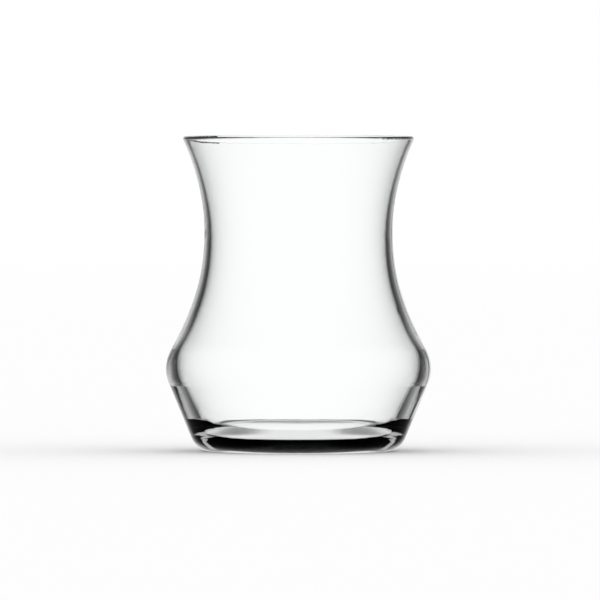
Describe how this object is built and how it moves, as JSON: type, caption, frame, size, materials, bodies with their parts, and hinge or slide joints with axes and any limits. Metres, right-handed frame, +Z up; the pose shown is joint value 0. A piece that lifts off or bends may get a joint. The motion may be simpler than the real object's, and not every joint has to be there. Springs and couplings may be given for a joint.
{
  "type": "empty turkish tea glass",
  "caption": "Empty clear tea glass with a flared mouth, a narrow waist, a wide low belly and a thick round-cornered foot.",
  "frame": {"origin": "centre of the underside, on the plane that the glass stands on", "axes": "+Z up along the glass's axis of revolution; X and Y are alike"},
  "size_m": [0.0672, 0.0672, 0.08],
  "materials": {
    "clear_glass": "clear colourless soda-lime glass, fire-polished and smooth all over"
  },
  "bodies": {
    "root": {"glass": "clear_glass"}
  },
  "joints": []
}
